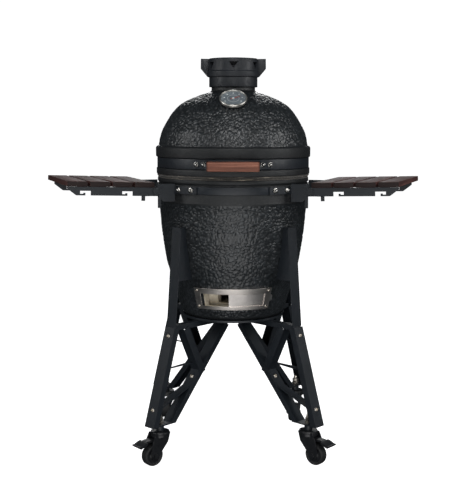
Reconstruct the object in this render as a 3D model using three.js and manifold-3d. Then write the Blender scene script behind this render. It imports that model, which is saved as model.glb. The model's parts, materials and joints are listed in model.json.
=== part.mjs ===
// A kamado: a ceramic charcoal grill with a hinged dome, on a four-legged truss stand with casters.
// Millimetres, +Z up, the front faces -Y. The grill's own axis is vertical, at X = 0, Y = AXIS_Y.
import * as THREE from "three";
import { mergeVertices } from "three/addons/utils/BufferGeometryUtils.js";
import Module from "manifold-3d";

const wasm = await Module();
wasm.setup();

// Driving dimensions
const AXIS_Y = 5.5; // the grill's axis behind the middle of its footprint
const LIFT = 17; // height of the grill's own zero above the floor, which only the casters reach
const GAP = 0.3; // between pieces that touch
const FACETS = 40; // of a full turn of the ceramic and its bands
const FINE_FACETS = 80; // of the curved draft door, which slides on its frame
const WALL = 26; // ceramic wall
const BASE_FLOOR = 395;
const BASE_RIM = 819;
const LID_RIM = 831;
const NECK_RADIUS = 67.5;
const NECK_TOP = 1118;
const BAND_INNER = 232.3;
const BAND_OUTER = 235.3;
const PAD_INNER = BAND_OUTER + GAP;
const PAD_OUTER = PAD_INNER + 4;
const BASE_BAND = [778, 800]; // bottom and top
const LID_BAND = [851, 881];
const HINGE = { y: 275, z: 826, pin: 5 };
const TABLE = { pivotX: 210.5, pivotY: -188, pivotZ: 790.5, turn: 19.8, tilt: 1.9, armPitch: 210 };
const SLAT = { count: 4, width: 59.4, gap: 6.3, length: 332, thick: 15, first: 21 };
const ARM = { bottom: -18.9, top: 6, thick: 5 };
const KNEE = { radius: 269, z: 382.5 }; // where the lower leg starts, outside of the upper leg
const LEG_FLARE = 0.298; // outward run of the lower leg for each unit down
const STAND_TURN = 1.5; // degrees that the grill sits off square in its stand
const FOOT = { bottom: 99, top: 103, stem: 310 };
const CASTER = { trail: 28, wheelRadius: 31, wheelWidth: 28, headRadius: 27.5, headBottom: 84, headTop: 99 };
const PEDAL_PIVOT = { trail: 5, z: 75, radius: 2.6 };
const DEGREE = Math.PI / 180;

// Materials
const steelPaint = { color: 0x20262e, roughness: 0.5, metalness: 0.3 };
const MATERIALS = {
  ceramic: { color: 0x24282b, roughness: 0.45, metalness: 0 },
  fireclay: { color: 0xc9bfa8, roughness: 0.9, metalness: 0 },
  felt: { color: 0x6f675c, roughness: 1, metalness: 0 },
  steel: steelPaint,
  castIron: { color: 0x23282e, roughness: 0.6, metalness: 0.4 },
  stainless: { color: 0xb9b3ad, roughness: 0.3, metalness: 0.9 },
  chrome: { color: 0xd0d0cc, roughness: 0.15, metalness: 1 },
  dial: { color: 0x8a9096, roughness: 0.4, metalness: 0.1 },
  handleWood: { color: 0x8a5545, roughness: 0.6, metalness: 0 },
  slatWood: { color: 0x5e4540, roughness: 0.65, metalness: 0 },
  caster: { color: 0x15171a, roughness: 0.5, metalness: 0.1 },
  tyre: { color: 0x1a1b1d, roughness: 0.8, metalness: 0 },
};

const root = new THREE.Group();
const grill = new THREE.Group();
grill.position.set(0, AXIS_Y, LIFT);
root.add(grill);

// ---- Geometry helpers

// The solid of a closed geometry, its faces turned outward.
function solid(geometry) {
  const bare = new THREE.BufferGeometry();
  const source = geometry.index ? geometry.toNonIndexed() : geometry;
  bare.setAttribute("position", source.getAttribute("position"));
  const merged = mergeVertices(bare, 1e-4);
  const corners = merged.index.array;
  const kept = [];
  for (let i = 0; i < corners.length; i += 3) {
    const [a, b, c] = [corners[i], corners[i + 1], corners[i + 2]];
    if (a !== b && b !== c && c !== a) kept.push(a, b, c);
  }
  const vertProperties = merged.attributes.position.array;
  const build = (triVerts) => new wasm.Manifold(new wasm.Mesh({ numProp: 3, vertProperties, triVerts }));
  const made = build(Uint32Array.from(kept));
  return made.volume() < 0 ? build(Uint32Array.from(kept.reverse())) : made;
}

function join(...solids) {
  return solids.reduce((all, next) => all.add(next));
}

function cut(body, ...tools) {
  return tools.reduce((rest, tool) => rest.subtract(tool), body);
}

// A flat-shaded geometry of a solid.
function geometryOf(made) {
  const { numProp, vertProperties, triVerts } = made.getMesh();
  const positions = new Float32Array(triVerts.length * 3);
  triVerts.forEach((vertex, i) => {
    for (let k = 0; k < 3; k += 1) positions[i * 3 + k] = vertProperties[vertex * numProp + k];
  });
  const geometry = new THREE.BufferGeometry();
  geometry.setAttribute("position", new THREE.BufferAttribute(positions, 3));
  geometry.computeVertexNormals();
  return geometry;
}

// A profile of [radius, z] points, turned about Z.
function turned(profile, facets = FACETS) {
  const points = profile.map(([r, z]) => new THREE.Vector2(r, z));
  return solid(new THREE.LatheGeometry(points, facets).rotateX(Math.PI / 2));
}

// A ring of rectangular section, its profile closed on itself.
function ring(inner, outer, bottom, top, facets = FACETS) {
  return turned([[inner, bottom], [outer, bottom], [outer, top], [inner, top], [inner, bottom]], facets);
}

function extruded(outline, depth) {
  const shape = new THREE.Shape(outline.map(([x, y]) => new THREE.Vector2(x, y)));
  return new THREE.ExtrudeGeometry(shape, { depth, bevelEnabled: false, curveSegments: 8 });
}

// An outline of [x, z] points, given thickness along Y from one side to the other.
function upright(outline, from, to) {
  return solid(extruded(outline, to - from).rotateX(Math.PI / 2).translate(0, to, 0));
}

// An outline of [y, z] points, given thickness along X from one side to the other.
function crosswise(outline, from, to) {
  const geometry = extruded(outline, to - from).rotateX(Math.PI / 2).rotateZ(Math.PI / 2);
  return solid(geometry.translate(from, 0, 0));
}

function block(x, y, z) {
  const geometry = new THREE.BoxGeometry(x[1] - x[0], y[1] - y[0], z[1] - z[0]);
  return solid(geometry.translate((x[0] + x[1]) / 2, (y[0] + y[1]) / 2, (z[0] + z[1]) / 2));
}

// A vertical rod.
function rod(x, y, radius, bottom, top, facets = 12) {
  const geometry = new THREE.CylinderGeometry(radius, radius, top - bottom, facets);
  return solid(geometry.rotateX(Math.PI / 2).translate(x, y, (bottom + top) / 2));
}

// A rod along X.
function rodAlongX(y, z, radius, from, to, facets = 12) {
  const geometry = new THREE.CylinderGeometry(radius, radius, to - from, facets);
  return solid(geometry.rotateZ(Math.PI / 2).translate((from + to) / 2, y, z));
}

// A rod along Y.
function rodAlongY(x, z, radius, from, to, facets = 12) {
  const geometry = new THREE.CylinderGeometry(radius, radius, to - from, facets);
  return solid(geometry.translate(x, (from + to) / 2, z));
}

// A wedge about the grill's axis between two azimuths, counted in degrees from the front towards +X.
function wedge(from, to, bottom, top, reach = 400) {
  const steps = Math.max(2, Math.ceil((to - from) / 40));
  const outline = [[0, 0]];
  for (let i = 0; i <= steps; i += 1) {
    const angle = (from + ((to - from) * i) / steps) * DEGREE;
    outline.push([reach * Math.sin(angle), -reach * Math.cos(angle)]);
  }
  return solid(extruded(outline, top - bottom).translate(0, 0, bottom));
}

function addMesh(parent, name, made, material) {
  const mesh = new THREE.Mesh(geometryOf(made), new THREE.MeshStandardMaterial(MATERIALS[material]));
  mesh.name = name;
  parent.add(mesh);
  return mesh;
}

// ---- Ceramic outlines

const BASE_CONE = { radius: 166, z: 425, slope: 0.3 };

// The base below mid-height is a straight cone.
function coneRadius(z) {
  return BASE_CONE.radius + (z - BASE_CONE.z) * BASE_CONE.slope;
}

const coneTop = [coneRadius(557), 557];
const baseCurve = new THREE.SplineCurve(
  [coneTop, [216, 619], [222.5, 668], [227, 719], [231.6, 741]].map(([r, z]) => new THREE.Vector2(r, z)),
);
const baseUpper = baseCurve.getPoints(5).map((p) => [p.x, p.y]);

// The outside radius of the base at a height between the cone and the collar.
function baseRadius(z) {
  if (z <= coneTop[1]) return coneRadius(z);
  const above = baseUpper.findIndex((p) => p[1] >= z);
  const [r0, z0] = baseUpper[above - 1];
  const [r1, z1] = baseUpper[above];
  return r0 + ((r1 - r0) * (z - z0)) / (z1 - z0);
}

const domeCurve = new THREE.SplineCurve(
  [[231, 917], [220, 962], [182.5, 1024], [142, 1055], [71, 1083]].map(([r, z]) => new THREE.Vector2(r, z)),
);

// ---- Lid

const THERMOMETER = { y: -150.6, z: 1050.2, elevation: 53.5, rear: -60 };

function towardsThermometer(made) {
  const matrix = new THREE.Matrix4().makeRotationX((90 - THERMOMETER.elevation) * DEGREE);
  matrix.setPosition(0, THERMOMETER.y, THERMOMETER.z);
  return made.transform(matrix.elements);
}

function lidDome() {
  const inner = domeCurve.getPoints(4).map((p) => [p.x - WALL * 0.85, p.y - WALL * 0.5]);
  const dome = turned([
    [211, LID_RIM],
    [237.5, LID_RIM],
    [237.5, 849],
    [232, 850.5],
    [232, 881.5],
    [239, 883],
    [240, 886],
    [240, 911],
    [237, 914.5],
    ...domeCurve.getPoints(6).map((p) => [p.x, p.y]),
    [NECK_RADIUS, 1086],
    [NECK_RADIUS, NECK_TOP],
    [50, NECK_TOP],
    ...inner.reverse(),
    [211, LID_RIM],
  ]);
  return cut(dome, towardsThermometer(rod(0, 0, 4.8, -90, 30)));
}

function thermometerCase() {
  return towardsThermometer(
    turned(
      [
        [0, THERMOMETER.rear],
        [4, THERMOMETER.rear],
        [4, 0.9],
        [36, 2.4],
        [41.5, 5],
        [41.5, 13],
        [40, 15],
        [37.6, 15],
        [37, 9.5],
        [0, 9.5],
      ],
      28,
    ),
  );
}

function thermometerDial() {
  const face = rod(0, 0, 36.6, 9.8, 10.6, 28);
  const hub = rod(0, 0, 3, 10.4, 12.4, 10);
  const needle = block([-2, 26], [-1, 1], [11, 12]);
  const turnedNeedle = needle.rotate([0, 0, 22]);
  return towardsThermometer(join(face, hub, turnedNeedle));
}

function lidBand() {
  return ring(BAND_INNER, BAND_OUTER, ...LID_BAND);
}

function lidGasket() {
  return ring(212, 236, 825, LID_RIM - GAP);
}

const GRIP = { half: 75.5, front: -297, back: -272, bottom: 849, top: 877 };

function handleGrip() {
  const [y0, y1, z0, z1, chamfer] = [GRIP.front, GRIP.back, GRIP.bottom, GRIP.top, 3];
  return crosswise(
    [
      [y0 + chamfer, z0],
      [y1 - chamfer, z0],
      [y1, z0 + chamfer],
      [y1, z1 - chamfer],
      [y1 - chamfer, z1],
      [y0 + chamfer, z1],
      [y0, z1 - chamfer],
      [y0, z0 + chamfer],
    ],
    -GRIP.half,
    GRIP.half,
  );
}

// The right bracket: a curved pad on the lid band and an arm that carries the end of the grip.
function handleBracket() {
  const pad = ring(PAD_INNER, PAD_OUTER, 854, 878).intersect(wedge(18.9, 29, 850, 880));
  const armOutline = [
    [-226, 854],
    [-226, 876],
    [-291, 873],
    [-294, 870],
    [-294, 856],
    [-291, 853],
  ];
  return join(pad, crosswise(armOutline, GRIP.half + GAP, GRIP.half + 3.3));
}

// ---- Vent on the neck

const WINDOW = { count: 6, halfWidth: 13.5, bottom: 1151, top: 1172 };

function ventWindows() {
  const outline = [
    [-WINDOW.halfWidth, WINDOW.top],
    [0, WINDOW.bottom],
    [WINDOW.halfWidth, WINDOW.top],
  ];
  const single = upright(outline, -95, -55);
  const pitch = 360 / WINDOW.count;
  return Array.from({ length: WINDOW.count }, (_, i) => single.rotate([0, 0, i * pitch]));
}

function ventSleeve() {
  const body = turned(
    [
      [NECK_RADIUS + 0.8, 1096.5],
      [74.8, 1096.5],
      [74.8, 1127],
      [70.3, 1127],
      [70.3, 1175],
      [66, 1175],
      [66, 1124],
      [54, 1124],
      [54, NECK_TOP + 0.4],
      [NECK_RADIUS + 0.8, NECK_TOP + 0.4],
      [NECK_RADIUS + 0.8, 1096.5],
    ],
    30,
  );
  return cut(body, ...ventWindows());
}

function ventCap() {
  const shell = turned(
    [
      [72, 1127.4],
      [81, 1127.4],
      [81, 1144],
      [77.5, 1145.5],
      [77.5, 1182],
      [75, 1184],
      [0, 1186],
      [0, 1180],
      [72, 1178],
      [72, 1127.4],
    ],
    30,
  );
  const wing = [
    [76, 1184],
    [101, 1184],
    [101, 1152],
    [80, 1127.4],
    [76, 1127.4],
  ];
  const right = upright(wing, -3.5, 3.5);
  return join(cut(shell, ...ventWindows()), right, right.rotate([0, 0, 180]));
}

// ---- Base

const DRAFT = {
  bottom: 430,
  top: 496,
  windowBottom: 441,
  windowTop: 479,
  half: 37.5,
  windowHalf: 31,
  doorFrom: -3.8,
  doorTo: 36.5,
  doorBottom: 437.6,
  doorTop: 482.4,
};

// A ring that follows the base's cone, between two offsets from its surface.
function coneRing(inner, outer, bottom, top) {
  return turned(
    [
      [coneRadius(bottom) + inner, bottom],
      [coneRadius(bottom) + outer, bottom],
      [coneRadius(top) + outer, top],
      [coneRadius(top) + inner, top],
      [coneRadius(bottom) + inner, bottom],
    ],
    FINE_FACETS,
  );
}

function baseShell() {
  const inner = [
    [207, BASE_RIM],
    [205, 760],
    ...baseUpper.filter((_, i) => i % 2 === 0).reverse().map(([r, z]) => [r - WALL, z]),
    [coneRadius(440) - WALL, 440],
    [134, 425],
    [0, 425],
  ];
  const shell = turned([
    [0, BASE_FLOOR],
    [150, BASE_FLOOR],
    [156, 404],
    [coneRadius(423), 423],
    ...baseUpper,
    [233, 750],
    [232, 757],
    [231.8, 801],
    [229, 803],
    [231, 805.5],
    [234, 809],
    [234, BASE_RIM],
    ...inner,
  ]);
  const opening = wedge(-29, 29, 438, 480).subtract(rod(0, 0, 120, 430, 490));
  return cut(shell, opening);
}

function fireBowl() {
  const bowl = turned([
    [0, 426],
    [130, 426],
    [144, 462],
    [171, 557],
    [180, 640],
    [158, 640],
    [150, 557],
    [131, 494],
    [131, 484],
    [117, 484],
    [115, 444],
    [0, 444],
  ]);
  return cut(bowl, wedge(-18, 18, 446, 476, 200));
}

function fireRing() {
  return turned([
    [158, 640 + GAP],
    [180, 640 + GAP],
    [193, 700],
    [198, 794],
    [182, 794],
    [172, 700],
    [158, 640 + GAP],
  ]);
}

function charcoalGrate() {
  const plate = rod(0, 0, 126, 484.4, 492, 28);
  const slots = [-3, -2, -1, 0, 1, 2, 3].map((i) => {
    const half = Math.sqrt(108 ** 2 - (i * 28) ** 2);
    return block([i * 28 - 6, i * 28 + 6], [-half, half], [480, 496]);
  });
  return cut(plate, ...slots);
}

function cookingGrate() {
  const rim = ring(190, 197, 795, 802, 32);
  const inside = rod(0, 0, 193, 790, 810, 32);
  const bars = [];
  for (let i = -6; i <= 6; i += 1) bars.push(block([i * 27 - 3, i * 27 + 3], [-200, 200], [797, 802]));
  const stays = [-110, 110].map((y) => block([-200, 200], [y - 3, y + 3], [795, 799]));
  return join(rim, join(...bars, ...stays).intersect(inside));
}

function baseGasket() {
  return ring(209, 233, BASE_RIM + GAP, 824.7);
}

function baseBand() {
  return ring(BAND_INNER, BAND_OUTER, ...BASE_BAND);
}

function draftFrame() {
  const plate = coneRing(0.6, 6.5, DRAFT.bottom, DRAFT.top);
  const channel = coneRing(-5, 4.6, DRAFT.doorBottom - 0.7, DRAFT.doorTop + 0.7);
  const window = wedge(-DRAFT.windowHalf, DRAFT.windowHalf, DRAFT.windowBottom, DRAFT.windowTop);
  const strip = plate.intersect(wedge(-DRAFT.half, DRAFT.half, DRAFT.bottom - 5, DRAFT.top + 5));
  return cut(strip, channel, window);
}

function draftDoor() {
  const sheet = coneRing(2.2, 3.7, DRAFT.doorBottom, DRAFT.doorTop);
  const panel = sheet.intersect(wedge(DRAFT.doorFrom, DRAFT.doorTo, 420, 500));
  const tab = sheet.intersect(wedge(DRAFT.doorTo - 1, 39.6, 453, 474));
  const tip = sheet.intersect(wedge(DRAFT.doorTo - 1, 40.8, 457, 470));
  return join(panel, tab, tip);
}

// ---- Rear hinge

const KNUCKLE_RADIUS = 11;

// A round eye about the pin, cut from a hinge ear.
function knuckle(from, to) {
  return rodAlongX(HINGE.y, HINGE.z, KNUCKLE_RADIUS, from, to, 16);
}

function pinHole() {
  return rodAlongX(HINGE.y, HINGE.z, HINGE.pin + 0.4, -90, 90, 16);
}

function hingeLowerBracket() {
  const pad = ring(PAD_INNER, PAD_OUTER, ...BASE_BAND).intersect(wedge(162, 198, 770, 810));
  const ear = [
    [228, 778],
    [228, 800],
    [243, 806],
    [265, 832],
    [284, 820],
    [276, 804],
    [250, 778],
  ];
  const ears = [-68, 62].map((x) => join(crosswise(ear, x, x + 6), knuckle(x, x + 6)));
  return cut(join(pad, ...ears), pinHole());
}

function hingeUpperBracket() {
  const pad = ring(PAD_INNER, PAD_OUTER, 853, 879).intersect(wedge(165.8, 194.2, 850, 885));
  const ear = [
    [231.5, 853],
    [231.5, 879],
    [246, 879],
    [284, 834],
    [268, 818],
    [261, 830],
    [246, 851],
  ];
  const ears = [-58, 52].map((x) => join(crosswise(ear, x, x + 6), knuckle(x, x + 6)));
  return cut(join(pad, ...ears), pinHole());
}

function hingePin() {
  const shaft = rodAlongX(HINGE.y, HINGE.z, HINGE.pin, -73, 73, 16);
  const heads = [-75, 70].map((x) => rodAlongX(HINGE.y, HINGE.z, 8, x, x + 5, 16));
  return join(shaft, ...heads);
}

// The space of one torsion spring around the pin.
function hingeSpring() {
  const outside = rodAlongX(HINGE.y, HINGE.z, 11, 4, 50, 16);
  return cut(outside, rodAlongX(HINGE.y, HINGE.z, HINGE.pin + 1.5, 0, 60, 16));
}

// ---- Side tables, in a frame at the front pivot: X outward along the arm, Y along the slats

const HOOK = { length: 31.5, mouth: 16, height: 8.5, floor: 4.6, lip: [5.5, 3], starts: [85.7, 208.5] };

// A slot open below for part of its length. The finger under the rest ends in a raised lip.
function hookSlot(start) {
  const bottom = ARM.bottom + HOOK.floor;
  const [lipLength, lipHeight] = HOOK.lip;
  const tip = start + HOOK.mouth;
  const slot = block([start, start + HOOK.length], [-20, 20], [bottom, bottom + HOOK.height]);
  const mouth = block([start, tip], [-20, 20], [ARM.bottom - 5, bottom + 1]);
  const lip = block([tip, tip + lipLength], [-30, 30], [bottom - 1, bottom + lipHeight]);
  return join(cut(slot, lip), mouth);
}

function slatEdge(index) {
  return SLAT.first + index * (SLAT.width + SLAT.gap);
}

const slatsEnd = slatEdge(SLAT.count) - SLAT.gap;

function tableArm() {
  const outline = [
    [-12, -11],
    [-5, ARM.bottom],
    [251, ARM.bottom],
    [slatsEnd, ARM.top - 5.5],
    [slatsEnd, ARM.top],
    [-8, ARM.top],
    [-12, 2],
  ];
  const bar = upright(outline, -ARM.thick / 2, ARM.thick / 2);
  return cut(bar, ...HOOK.starts.map(hookSlot), rodAlongY(0, 0, 4.5, -20, 20));
}

// The front arm also carries a small latch knob under its lower edge.
function frontArm() {
  const knob = rod(53.5, 0, 5.6, ARM.bottom - 14, ARM.bottom + 1, 10);
  return join(tableArm(), knob);
}

function slat(index) {
  const start = slatEdge(index);
  const front = -ARM.thick / 2;
  return block(
    [start, start + SLAT.width],
    [front, front + SLAT.length],
    [ARM.top + GAP, ARM.top + GAP + SLAT.thick],
  );
}

const plateTop = 17.5;
const plateBottom = -35;

// In the pivot's frame, level: the plate that the arm turns on, with the pivot bolt through both.
function pivotPlate(outline, from, to, boltFrom, boltTo, headAt) {
  const plate = upright(outline, from, to);
  const bolt = rodAlongY(0, 0, 4, boltFrom, boltTo, 12);
  const head = rodAlongY(0, 0, 7.5, headAt, headAt + 3.5, 6);
  return join(plate, bolt, head);
}

// Places a solid of the right side table's level frame in the grill's frame.
function besideGrill(made) {
  const matrix = new THREE.Matrix4().makeRotationZ(-TABLE.turn * DEGREE);
  matrix.setPosition(TABLE.pivotX, TABLE.pivotY, TABLE.pivotZ);
  return made.transform(matrix.elements);
}

// The front bracket's plate has a rubber stop at its lower corner.
function frontBracket() {
  const outline = [
    [-39.7, plateTop],
    [-39.7, plateBottom],
    [-5, plateBottom],
    [13.4, -14],
    [23, -13],
    [27, -8],
    [27, 1],
    [23, 5.5],
    [13.4, 6],
    [13.4, plateTop],
  ];
  const plate = pivotPlate(outline, -6.8, -2.8, -6.8, 4.5, -9.8);
  const stop = block([3.5, 12.5], [-11, -6.2], [-52.5, -14]);
  const pad = ring(PAD_INNER, PAD_OUTER, ...BASE_BAND).intersect(wedge(26.5, 44, 770, 810));
  const bend = ring(PAD_INNER, 252, ...BASE_BAND).intersect(wedge(42.6, 44.8, 770, 810));
  return join(besideGrill(join(plate, stop)), pad, bend);
}

function rearBracket() {
  const outline = [
    [-47.7, plateTop],
    [-47.7, plateBottom],
    [-6, plateBottom],
    [12, -11],
    [14, -5],
    [13, 6],
    [10, plateTop],
  ];
  const from = TABLE.armPitch + 2.8;
  const plate = pivotPlate(outline, from, from + 4, from - 7.3, from + 4, from + 3.9);
  const pad = ring(PAD_INNER, PAD_OUTER, ...BASE_BAND).intersect(wedge(96, 113, 770, 810));
  const bend = ring(PAD_INNER, 243, ...BASE_BAND).intersect(wedge(95.8, 98.2, 770, 810));
  return join(besideGrill(plate), pad, bend);
}

// ---- Stand, each leg in a frame where X is the radius towards its corner

const SHEET = 3; // thickness of the folded sheet steel

// A folded channel between two [radius, z] points: its flange faces left of the way it runs,
// and its two sides reach back by depth.
function channel(start, end, width, depth) {
  const run = new THREE.Vector2(end[0] - start[0], end[1] - start[1]);
  const length = run.length();
  run.normalize();
  const half = width / 2;
  const outline = [
    [-half, 0],
    [-half, -depth],
    [SHEET - half, -depth],
    [SHEET - half, -SHEET],
    [half - SHEET, -SHEET],
    [half - SHEET, -depth],
    [half, -depth],
    [half, 0],
  ];
  const basis = new THREE.Matrix4().makeBasis(
    new THREE.Vector3(0, 1, 0),
    new THREE.Vector3(-run.y, 0, run.x),
    new THREE.Vector3(run.x, 0, run.y),
  );
  basis.setPosition(start[0], 0, start[1]);
  return solid(extruded(outline, length).applyMatrix4(basis));
}

const UPPER_LEG = { top: 678, topRadius: 241.5, width: 38, webBottom: 520, tail: 328, tailWidth: 32.4 };

// The upper leg's tail goes down inside the lower leg.
function upperLeg() {
  const half = UPPER_LEG.width / 2;
  const kneeRadius = KNEE.radius - SHEET - 1.2;
  const shoulder = KNEE.z + 1;
  const tailRadius = kneeRadius + (KNEE.z - UPPER_LEG.tail) * LEG_FLARE;
  const flange = upright(
    [
      [UPPER_LEG.topRadius, UPPER_LEG.top],
      [UPPER_LEG.topRadius - SHEET, UPPER_LEG.top],
      [kneeRadius - SHEET, shoulder],
      [kneeRadius, shoulder],
    ],
    -half,
    half,
  );
  const tail = upright(
    [
      [kneeRadius - SHEET - 2.2, shoulder + 6],
      [tailRadius - SHEET, UPPER_LEG.tail],
      [tailRadius, UPPER_LEG.tail],
      [kneeRadius - 2.2, shoulder + 6],
    ],
    -UPPER_LEG.tailWidth / 2,
    UPPER_LEG.tailWidth / 2,
  );
  // The sides fill the space up to the ceramic and end above the knee.
  const inner = [0, 0.25, 0.5, 0.75, 1].map((t) => {
    const z = THREE.MathUtils.lerp(UPPER_LEG.webBottom, UPPER_LEG.top, t);
    return [Math.sqrt((baseRadius(z) + 1.2) ** 2 - half ** 2), z];
  });
  const web = [...inner, [UPPER_LEG.topRadius - 1, UPPER_LEG.top], [251.5, UPPER_LEG.webBottom]];
  const sides = [-half, half - SHEET].map((y) => upright(web, y, y + SHEET));
  const capInner = baseRadius(UPPER_LEG.top) + 1.2;
  const cap = block([capInner, UPPER_LEG.topRadius - 1], [-half, half], [UPPER_LEG.top - SHEET, UPPER_LEG.top]);
  return join(flange, tail, ...sides, cap);
}

function hexNut(x, radius, bottom, top) {
  return rod(x, 0, radius, bottom, top, 6);
}

// The lower leg with its diagonal, strut, flat brace, tie rod, foot plate and caster stem.
function lowerLeg() {
  const legFoot = KNEE.radius + (KNEE.z - FOOT.bottom) * LEG_FLARE;
  const leg = channel([KNEE.radius, KNEE.z], [legFoot, FOOT.bottom], 39, 20);
  const diagonal = channel([49, 370], [295, 88], 36, 17);
  const strut = channel([227, 369.5], [158, 225], 34, 23);
  const brace = upright([[180, 205.3], [318, 152.5], [318, 148.5], [180, 201.3]], -15, 15);
  const tie = solid(
    new THREE.CylinderGeometry(2.3, 2.3, 134, 6).rotateZ(Math.PI / 2).translate(237, 0, 261),
  );
  const plate = block([262, 352], [-19.5, 19.5], [FOOT.bottom, FOOT.top]);
  const below = block([0, 500], [-50, 50], [0, FOOT.bottom]);
  const frame = cut(join(leg, diagonal, strut, brace, tie, plate), below);
  const headTop = CASTER.headTop - LIFT;
  const stem = rod(FOOT.stem, 0, 5, headTop - 9, 124, 10);
  const collar = rod(FOOT.stem, 0, 12, headTop + 0.6, FOOT.bottom + 0.1, 16);
  return join(
    frame,
    stem,
    collar,
    hexNut(FOOT.stem, 9, FOOT.top - 0.1, 111),
    hexNut(FOOT.stem, 8, 112.5, 122.5),
  );
}

function crossFrame() {
  const arm = block([-258, 258], [-12, 12], [372, 387.9]);
  return join(arm.rotate([0, 0, 45 + STAND_TURN]), arm.rotate([0, 0, STAND_TURN - 45]));
}

function supportRing() {
  return ring(118, 158, 388.2, BASE_FLOOR - GAP);
}

// ---- Casters, in a frame on the stem's axis where X is the way the wheel trails

function casterFork(braked) {
  const cheek = [
    [-24, 96],
    [-16, 68],
    [10, 38],
    [19, 23],
    [37, 23],
    [45, 40],
    [38, 72],
    [26, 96],
  ];
  const side = CASTER.wheelWidth / 2 + 2.5;
  const cheeks = [-side - 3, side].map((y) => upright(cheek, y, y + 3));
  const head = rod(0, 0, CASTER.headRadius, CASTER.headBottom, CASTER.headTop, 20);
  const axle = rodAlongY(CASTER.trail, CASTER.wheelRadius, 4, -side - 5, side + 5, 10);
  const fork = cut(join(head, ...cheeks, axle), rod(0, 0, 5.8, 80, 110, 10));
  const { trail, z, radius } = PEDAL_PIVOT;
  return braked ? join(fork, rodAlongY(trail, z, radius, -side - 1, side + 1, 8)) : fork;
}

function casterWheel() {
  const half = CASTER.wheelWidth / 2;
  const profile = [
    [4.8, -half],
    [12, -half],
    [23, -half + 4],
    [25, -half],
    [CASTER.wheelRadius, -half + 5],
    [CASTER.wheelRadius, half - 5],
    [25, half],
    [23, half - 4],
    [12, half],
    [4.8, half],
    [4.8, -half],
  ];
  const points = profile.map(([r, y]) => new THREE.Vector2(r, y));
  const wheel = new THREE.LatheGeometry(points, 20);
  return solid(wheel.translate(CASTER.trail, 0, CASTER.wheelRadius));
}

function brakePedal() {
  const arm = [
    [-1, 70],
    [10, 70],
    [14, 73],
    [50, 73],
    [65, 68.5],
    [65, 75],
    [50, 79],
    [2, 80.5],
    [-1, 79],
  ];
  const pad = [
    [57, 70.5],
    [79, 62],
    [85, 65],
    [84, 69],
    [79, 68.5],
    [65, 75],
    [57, 77],
  ];
  const hole = rodAlongY(PEDAL_PIVOT.trail, PEDAL_PIVOT.z, PEDAL_PIVOT.radius + 0.5, -20, 20, 8);
  return cut(join(upright(arm, -11, 11), upright(pad, -20, 20)), hole);
}

// ---- Assembly

addMesh(grill, "lid_dome", lidDome(), "ceramic");
addMesh(grill, "lid_band", lidBand(), "steel");
addMesh(grill, "lid_gasket", lidGasket(), "felt");
addMesh(grill, "handle_grip", handleGrip(), "handleWood");
addMesh(grill, "thermometer_case", thermometerCase(), "chrome");
addMesh(grill, "thermometer_dial", thermometerDial(), "dial");
addMesh(grill, "vent_sleeve", ventSleeve(), "castIron");
addMesh(grill, "vent_cap", ventCap(), "castIron");
addMesh(grill, "base_shell", baseShell(), "ceramic");
addMesh(grill, "base_band", baseBand(), "steel");
addMesh(grill, "base_gasket", baseGasket(), "felt");
addMesh(grill, "fire_bowl", fireBowl(), "fireclay");
addMesh(grill, "fire_ring", fireRing(), "fireclay");
addMesh(grill, "charcoal_grate", charcoalGrate(), "castIron");
addMesh(grill, "cooking_grate", cookingGrate(), "stainless");
addMesh(grill, "draft_frame", draftFrame(), "stainless");
addMesh(grill, "draft_door", draftDoor(), "stainless");
addMesh(grill, "hinge_lower_bracket", hingeLowerBracket(), "steel");
addMesh(grill, "hinge_upper_bracket", hingeUpperBracket(), "steel");
addMesh(grill, "hinge_pin", hingePin(), "chrome");
addMesh(grill, "cross_frame", crossFrame(), "steel");
addMesh(grill, "support_ring", supportRing(), "steel");

for (const [side, mirror] of [["left", -1], ["right", 1]]) {
  const half = new THREE.Group();
  half.scale.x = mirror;
  grill.add(half);
  addMesh(half, `handle_bracket_${side}`, handleBracket(), "steel");
  addMesh(half, `hinge_spring_${side}`, hingeSpring(), "chrome");
  addMesh(half, `table_${side}_bracket_front`, frontBracket(), "steel");
  addMesh(half, `table_${side}_bracket_rear`, rearBracket(), "steel");
  const table = new THREE.Group();
  table.position.set(TABLE.pivotX, TABLE.pivotY, TABLE.pivotZ);
  table.rotation.set(0, -TABLE.tilt * DEGREE, -TABLE.turn * DEGREE, "ZYX");
  half.add(table);
  addMesh(table, `table_${side}_arm_front`, frontArm(), "steel");
  addMesh(table, `table_${side}_arm_rear`, tableArm(), "steel").position.y = TABLE.armPitch;
  for (let i = 0; i < SLAT.count; i += 1) {
    addMesh(table, `table_${side}_slat_${i + 1}`, slat(i), "slatWood");
  }
}

const CORNERS = [
  { name: "front_left", azimuth: -135, heading: -141, braked: true },
  { name: "front_right", azimuth: -45, heading: -39, braked: true },
  { name: "rear_right", azimuth: 45, heading: -105, braked: false },
  { name: "rear_left", azimuth: 135, heading: 112, braked: false },
];

for (const { name, azimuth, heading, braked } of CORNERS) {
  const corner = new THREE.Group();
  corner.rotation.z = (azimuth + STAND_TURN) * DEGREE;
  grill.add(corner);
  addMesh(corner, `upper_leg_${name}`, upperLeg(), "steel");
  addMesh(corner, `lower_leg_${name}`, lowerLeg(), "steel");
  const caster = new THREE.Group();
  caster.position.set(FOOT.stem, 0, -LIFT);
  caster.rotation.z = (heading - azimuth - STAND_TURN) * DEGREE;
  corner.add(caster);
  addMesh(caster, `caster_fork_${name}`, casterFork(braked), "caster");
  addMesh(caster, `caster_wheel_${name}`, casterWheel(), "tyre");
  if (braked) addMesh(caster, `caster_brake_${name}`, brakePedal(), "caster");
}

export default root;
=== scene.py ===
import json
import math

import bmesh
import bpy
from mathutils import Matrix, Vector, noise


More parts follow.
